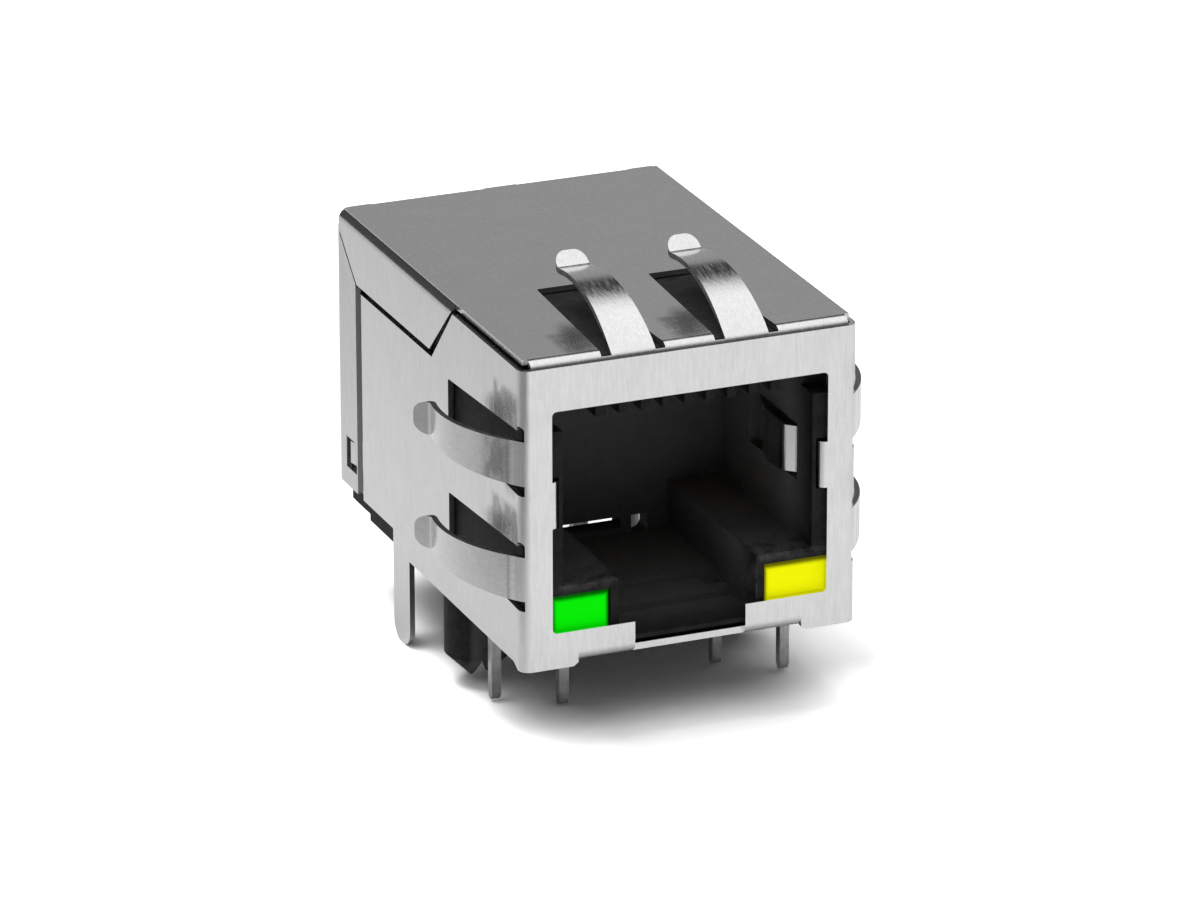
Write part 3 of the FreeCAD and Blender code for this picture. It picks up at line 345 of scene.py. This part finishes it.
def plated_sheet():
    """Satin tin: colour, roughness and relief from streaks, clouds, grain and marks.

    The tone is TIN plus each noise less its middle, times its weight. Rub marks, cut edges with
    their painted shade, wings, and the crease's painted shade and painted highlight multiply it.
    """
    material, g = new_material("plated_sheet")
    place = g.place()
    x, y, z = g.split(place)
    _, turn_y, turn_z = g.facing()
    from_middle = x.absolute()

    beyond_sides = from_middle.ramp(SIDE_FACE + 0.05, SIDE_FACE + 0.15)
    above_top = z.ramp(TOP_FACE + 0.02, TOP_FACE + 0.10)
    on_finger = beyond_sides.high(above_top)
    upright = g.noise(place, 9.0, detail=3.0, roughness=0.6, stretch=(1.0, 1.0, 0.10))
    lengthwise = g.noise(place, 9.0, detail=3.0, roughness=0.6, stretch=(1.0, 0.07, 1.0))
    streaks = upright + (lengthwise - upright) * on_finger
    cloud = g.noise(place, 0.55, detail=3.0, roughness=0.55)
    grain = g.noise(place, 14.0, detail=2.0, roughness=0.65)
    mottle = g.noise(place, 3.2, detail=4.0, roughness=0.7, stretch=(1.0, 1.0, 0.55))

    rub = rub_marks(g, place, (x, y, z))
    # Bare steel on the cut edges, darkened further by painted shade from the gaps beside them.
    bare_edge_and_shade = bare_edges_and_shade(from_middle, y, turn_y, turn_z)
    on_wing = wing(from_middle, y, z)
    # Painted shade and a painted highlight across each side finger, for the crease of its bend.
    painted_crease_shade = beyond_sides * y.band(*CREASE_SHADE_BAND)
    painted_crease_highlight = beyond_sides * y.band(*CREASE_HIGHLIGHT_BAND)

    tone = TIN + (streaks - 0.5) * 0.24 + (cloud - 0.5) * 0.07 + (grain - 0.5) * 0.16
    tone = tone + (mottle - 0.5) * 0.12
    # Cut edges darken the tone as bare steel and painted shade together.
    tone = tone * (1.0 - rub * 0.46) * (1.0 - bare_edge_and_shade * 0.72) * (1.0 - on_wing * 0.14)
    # The painted crease: its shade darkens the tone and its highlight brightens it, across each side
    # finger.
    tone = tone * (1.0 - painted_crease_shade * 0.22 + painted_crease_highlight * 0.14)
    roughness = 0.19 + (streaks - 0.5) * (0.16 + on_finger * 0.22) + rub * 0.10 + bare_edge_and_shade * 0.2
    g.surface({
        "Base Color": g.grey(tone, blue=0.998),
        "Metallic": 1.0,
        "Roughness": roughness,
        "Normal": g.bump(streaks * 0.6 + grain * 0.15 + mottle * 0.1, 0.28, 0.00003),
    })
    return material


dress(["shield"], plated_sheet())

# %% [markdown]
# ## The black moulding
#
# The body inside is a glass-filled plastic, moulded black. It is matt, and it shows dust and pale
# scuffs where fibres lie near the surface, most of all on the ledges over the lamps. On the latch
# channel's right wall near the mouth, the pale specks are dust and painted light together. Deep in
# the mouth the plastic is painted a paler grey, a painted fill light, because so little light gets
# there that plain black would lose all its corners; the right-hand walls get more of it. The
# ledges, which catch the light from above, are held back a little. High on the outer walls the
# plastic is painted darker, a painted shade.

# %% Black moulding
BLACK = 0.013
# Grey of dust, and of painted light on the channel's right wall.
DUST_AND_LIGHT_GREY = (0.42, 0.42, 0.42, 1.0)
OVER_LAMPS = (3.0, 3.5, 3.56, 3.60)  # band in z
CHANNEL_WALL = (3.15, 3.25, 3.28, 3.34)  # band in x, the latch channel's right wall
LEDGES = (3.4, 3.5, 3.9, 4.2)  # band in z


def dust_and_wall_light(g, place, x, y, z):
    """Pale specks: a fine noise times a cloudy one, full on the ledges and the channel's wall; on
    the wall near the mouth they are dust and painted light together.
    """
    speckle = g.noise(place, 22.0, detail=2.0, roughness=0.8)
    cloud = g.noise(place, 1.6, detail=4.0, roughness=0.65)
    near_mouth = y.ramp(-9.0, -4.5, 1.0, 0.0)
    over_lamps = z.band(*OVER_LAMPS) * x.absolute().ramp(3.2, 3.5)
    # On the channel's right wall the specks fade with depth: dust, and painted light falling off
    # into the mouth.
    channel_wall_dust_and_light = x.band(*CHANNEL_WALL) * z.ramp(3.0, 5.0, 1.0, 0.0)
    dust_and_light_share = (over_lamps.high(channel_wall_dust_and_light) * near_mouth).high(0.18)
    return speckle.ramp(0.40, 0.74) * cloud.ramp(0.30, 0.66) * dust_and_light_share


def moulding_tone(g, x, y, z):
    """BLACK, with painted fill light deep in the mouth, more on its right-hand walls and less on the
    ledges, and painted shade high on the outer walls.
    """
    from_middle = x.absolute()
    turn_x, _, turn_z = g.facing()
    inside = y.ramp(-9.0, -6.0) * from_middle.ramp(7.0, 7.3, 1.0, 0.0)
    inside = inside * z.ramp(13.2, 13.5, 1.0, 0.0)
    ledge = turn_z.ramp(0.6, 0.9) * z.band(*LEDGES) * y.ramp(-5.5, -2.5, 1.0, 0.0)
    lit_right_wall = (0.0 - turn_x).ramp(0.80, 0.95)
    # Painted fill light deep in the mouth: more on the right-hand walls that face to the left, less
    # on the ledges that catch light from above.
    painted_fill_light = inside * z.ramp(2.0, 5.0, 0.07, 0.12) * (1.0 - ledge * 0.40) * (1.0 + lit_right_wall * 0.45)
    # Painted shade high on the housing's outer walls, seen through the upper windows.
    painted_shade_high_wall = from_middle.ramp(7.2, 7.4) * z.ramp(7.0, 9.0)
    return BLACK - painted_shade_high_wall * 0.009 + painted_fill_light


def black_moulding(name, dust):
    """Near-black matt plastic with fine grain, dust where it can lie, and painted light and shade.
    """
    material, g = new_material(name)
    place = g.place()
    x, y, z = g.split(place)
    grain = g.noise(place, 14.0, detail=3.0, roughness=0.7)
    plain = g.grey(moulding_tone(g, x, y, z), blue=1.04)
    g.surface({
        "Base Color": g.mix(dust_and_wall_light(g, place, x, y, z) * dust, plain, DUST_AND_LIGHT_GREY),
        "Roughness": 0.55 + (grain - 0.5) * 0.22,
        "Normal": g.bump(grain, 0.25, 0.00005),
        "Specular IOR Level": 0.12,
    })
    return material


dress(["housing"], black_moulding("black_moulding", dust=0.6))
dress(["contact_carrier"], black_moulding("carrier_moulding", dust=0.2))

# %% [markdown]
# ## The two lamps
#
# Each lamp is a block of clear tinted resin that light soaks into, so its face looks evenly
# bright, and painted shade darkens its edges. A little light of its own keeps the colour full
# without lighting its pocket. The rims of painted shade follow the face's outline, a soft step
# inside each of its four sides.

# %% Tinted lamps
LAMP_GLOW = 0.80
GREEN = (0.001, 0.70, 0.001, 1.0)
YELLOW = (0.72, 0.73, 0.001, 1.0)
RIM_SHADE = 0.10  # of the full colour, where the rim is darkest


def lamp_resin(name, colour):
    """Tinted resin: full colour, a satin face, an even light from inside and painted shade at its
    rims.
    """
    material, g = new_material(name)
    place = g.place()
    x, _, z = g.split(place)
    cloud = g.noise(place, 1.2, detail=2.0)
    # Painted shade along the four rims of the face.
    inner_rim = x.absolute().ramp(3.68, 3.92, 1.0, 0.0)
    outer_rim = x.ramp(-6.36, -6.10, 1.0, 0.0).high(x.ramp(6.52, 6.76))
    upright_rim = z.ramp(1.30, 1.52, 1.0, 0.0).high(z.ramp(2.70, 2.96))
    painted_rim_shade = inner_rim.high(outer_rim).high(upright_rim) * 0.9 + cloud * 0.1
    shade = g.mix(painted_rim_shade, colour, tuple(c * RIM_SHADE for c in colour[:3]) + (1.0,))
    g.surface({
        "Base Color": shade,
        "Roughness": 0.5,
        "Specular IOR Level": 0.03,
        "Emission Color": shade,
        "Emission Strength": LAMP_GLOW,
    })
    return material


dress(["lamp_green"], lamp_resin("green_resin", GREEN))
dress(["lamp_yellow"], lamp_resin("yellow_resin", YELLOW))

# %% [markdown]
# ## Leads and pins
#
# They are square wire, tin-plated after it was drawn, so the streaks run along the wire. Their
# tone is mottled, and a good deal darker than the case.

# %% Tinned wire


def tinned_wire():
    """Drawn and plated wire: satin, with streaks along its length."""
    material, g = new_material("tinned_wire")
    place = g.place()
    streaks = g.noise(place, 18.0, detail=3.0, stretch=(1.0, 1.0, 0.08))
    cloud = g.noise(place, 2.2, detail=3.0)
    tone = 0.56 + (streaks - 0.5) * 0.34 + (cloud - 0.5) * 0.40
    g.surface({
        "Base Color": g.grey(tone, blue=0.99),
        "Metallic": 1.0,
        "Roughness": 0.34 + (cloud - 0.5) * 0.2,
        "Normal": g.bump(streaks, 0.15, 0.00003),
    })
    return material


dress([n for n in nodes if n.startswith("board_pin_") or "_lead_" in n], tinned_wire())

# %% [markdown]
# ## Contacts and the parts inside
#
# The contacts are spring bronze, gold-plated where the plug touches. The inner board is green
# laminate with its glass weave just showing, and the rings are dark grey ferrite under a thin
# coat. The case hides nearly all of this, so each gets one plain pattern that is true to it.

# %% Gold, laminate and ferrite
DULL_GOLD, BRIGHT_GOLD = (0.72, 0.50, 0.20, 1.0), (0.86, 0.64, 0.30, 1.0)
DEEP_GREEN, PALE_GREEN = (0.012, 0.09, 0.035, 1.0), (0.03, 0.17, 0.07, 1.0)
DARK_FERRITE, PALE_FERRITE = (0.02, 0.02, 0.022, 1.0), (0.055, 0.055, 0.06, 1.0)


def gold_contact():
    """Thin gold on spring bronze, rubbed along the strip."""
    material, g = new_material("gold_contact")
    streaks = g.noise(g.place(), 16.0, detail=3.0, stretch=(1.0, 0.1, 1.0))
    g.surface({
        "Base Color": g.mix(streaks, DULL_GOLD, BRIGHT_GOLD),
        "Metallic": 1.0,
        "Roughness": 0.24 + (streaks - 0.5) * 0.12,
    })
    return material


def laminate():
    """Green board laminate: bands of weave and soft clouds."""
    material, g = new_material("laminate")
    place = g.place()
    sockets = {"Vector": place, "Scale": 4.0}
    weave = g.add("ShaderNodeTexWave", {"bands_direction": "X"}, sockets, out=1)
    cloud = g.noise(place, 1.5, detail=3.0)
    g.surface({
        "Base Color": g.mix(weave * 0.4 + cloud * 0.6, DEEP_GREEN, PALE_GREEN),
        "Roughness": 0.4 + (cloud - 0.5) * 0.2,
    })
    return material


def coated_ferrite():
    """Dark grey ferrite under a thin coat."""
    material, g = new_material("coated_ferrite")
    grain = g.noise(g.place(), 12.0, detail=3.0)
    g.surface({
        "Base Color": g.mix(grain, DARK_FERRITE, PALE_FERRITE),
        "Roughness": 0.38 + (grain - 0.5) * 0.2,
        "Normal": g.bump(grain, 0.2, 0.00003),
    })
    return material


dress([f"contact_{i}" for i in range(1, 9)], gold_contact())
dress(["inner_board"], laminate())
dress([n for n in nodes if "_ring_" in n], coated_ferrite())

# %% [markdown]
# ## The table
#
# The part stands on white card, and the picture keeps of it only a short soft shadow. The card has
# two tones. The part sees plain card, dimmer to the left, so that the side panel mirrors a shade
# less than the front. The camera sees the same card lifted past white, step by step to the left,
# the right and the front, and the shadow then ends where the picture's does.

# %% Make the table
TABLE_REACH = 4.0


def table(height, reach):
    """A flat square of a single face, under the lowest solder leg."""
    corners = np.array([[-1, -1], [1, -1], [1, 1], [-1, 1]], dtype=float) * reach
    points = np.column_stack([corners, np.full(4, height)])
    mesh = bpy.data.meshes.new("table")
    mesh.from_pydata(points.tolist(), [], [(0, 1, 2, 3)])
    surface = bpy.data.objects.new("table", mesh)
    bpy.context.scene.collection.objects.link(surface)
    return surface


def white_table():
    """White card in two tones: one for the part, and one for camera rays."""
    material, g = new_material("white_table")
    x, y, _ = g.split(g.place())
    camera_ray = g.add("ShaderNodeLightPath", out=0)
    beside = y.ramp(-20.0, 20.0, 1.0, 0.0)
    for_parts = 0.84 - x.ramp(-40.0, -4.0, 1.0, 0.0) * (0.30 + beside * 0.24)
    for_parts = for_parts + y.ramp(-30.0, -8.0, 1.0, 0.0) * x.ramp(-12.0, 0.0) * 0.09
    for_camera = 1.08 + x.ramp(-6.5, -2.5, 1.3, 0.0) + x.ramp(4.0, 10.0, 0.0, 0.6)
    for_camera = for_camera + y.ramp(-8.0, -4.0, 1.0, 0.0)
    tone = for_parts + camera_ray * (for_camera - for_parts)
    g.surface({"Color": g.grey(tone)}, kind="ShaderNodeBsdfDiffuse")
    return material


floor = table(cad_box[0][2], TABLE_REACH)
floor.data.materials.append(white_table())
print("table at z in mm:", round(cad_box[0][2] / MM, 2))

# %% [markdown]
# ## The room
#
# Metal looks like whatever it mirrors, so the room is half of the plating's look. This picture's
# background was cut away, but the metal still tells what was there: the top panel mirrors a
# mid-grey wall behind the part, its bent edges and the fingers' crests a dark band above that
# wall, and the fingers' slopes a bright light overhead. The front and the side mirror the table.
# So the world holds those bands for the metal, and the camera sees it plain white.

# %% Make the room
OVERHEAD = 1.15  # brightness of the light overhead, behind the part
WALL, DARK_BAND = 0.35, 0.035


def room():
    """The world: brightness from the direction, and white for camera rays.

    Behind, it goes with the direction's height from WALL to DARK_BAND, dimmer to the left, and
    then to OVERHEAD. In front it is dim up to 0.42 and then rises to nearly the same.
    """
    world = bpy.data.worlds.new("room")
    bpy.context.scene.world = world
    world.use_nodes = True
    g = Graph(world.node_tree)
    x, y, z = g.split(g.add("ShaderNodeTexCoord", out=0))
    behind = y.ramp(-0.15, 0.35)
    level = z.ramp(0.42, 0.52, WALL, DARK_BAND) * x.ramp(0.02, 0.22, 0.18, 1.0)
    at_back = level + z.ramp(0.68, 0.86) * (OVERHEAD - level)
    at_front = 0.09 + z.ramp(0.42, 0.90) * 1.01
    light = at_front + behind * (at_back - at_front)
    camera_ray = g.add("ShaderNodeLightPath", out=0)
    seen = light + camera_ray * (1.0 - light)
    sockets = {"Color": g.grey(seen), "Strength": 1.0}
    background = g.add("ShaderNodeBackground", sockets=sockets)
    g.add("ShaderNodeOutputWorld", sockets={"Surface": background})
    print("world nodes:", len(world.node_tree.nodes))


room()

# %% [markdown]
# ## The key light
#
# One soft square lamp overhead, a little to the left and behind, gives the table its shadow, which
# falls to the front right. A small lamp would draw a hard edge that the picture doesn't have. The
# view transform is set to Standard, so that a colour renders as it is written.

# %% Hang the lamp


def soft_lamp(name, place, aim, size, power):
    """A square area light, its face turned to the aim; metres and watts."""
    data = bpy.data.lights.new(name, "AREA")
    data.size = size
    data.energy = power
    lamp = bpy.data.objects.new(name, data)
    lamp.location = place
    lamp.rotation_euler = (Vector(aim) - Vector(place)).to_track_quat("-Z", "Y").to_euler()
    bpy.context.scene.collection.objects.link(lamp)
    print(name, "of", power, "W")


soft_lamp("key_light", place=(-0.12, 0.10, 0.55), aim=(0, 0, 0.005), size=0.30, power=1.5)

bpy.context.scene.view_settings.view_transform = "Standard"
